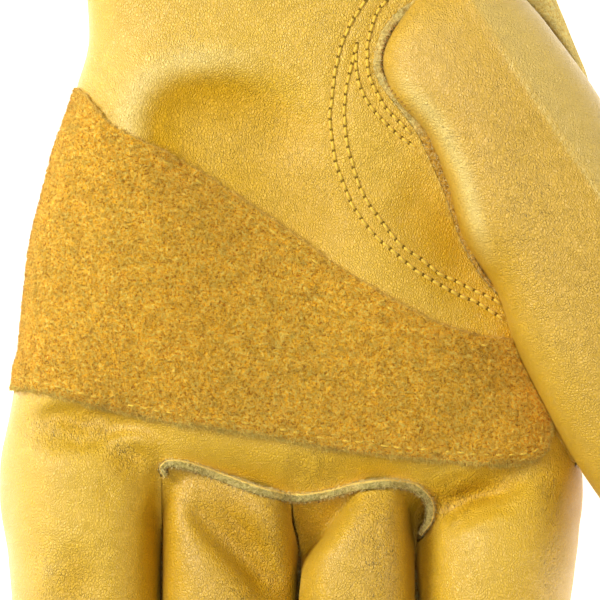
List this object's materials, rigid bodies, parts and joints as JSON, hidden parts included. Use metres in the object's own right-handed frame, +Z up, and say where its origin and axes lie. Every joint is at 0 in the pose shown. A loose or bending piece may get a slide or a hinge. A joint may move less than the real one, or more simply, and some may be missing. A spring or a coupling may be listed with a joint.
{
  "type": "leather work glove",
  "caption": "Hollow left-hand leather work glove lying palm up, with a set-in thumb, suede palm patch and welted finger-base seam.",
  "frame": {"origin": "on the surface that the glove rests on, under the middle of the palm", "axes": "+Z up out of the palm, +Y from the fingers to the cuff, +X towards the thumb"},
  "size_m": [0.1616, 0.253, 0.05],
  "materials": {
    "grain_leather": "smooth grain, soft sheen",
    "split_leather": "split leather, rough",
    "suede": "suede nap",
    "raw_edge": "raw cut edge"
  },
  "bodies": {
    "root": {"palm": "grain_leather", "back": "split_leather", "ring_front": "grain_leather", "middle_front": "grain_leather", "thumb": "grain_leather", "palm_patch": "suede", "ring_welt": "raw_edge", "middle_welt": "raw_edge", "thumb_welt": "raw_edge"}
  },
  "joints": []
}
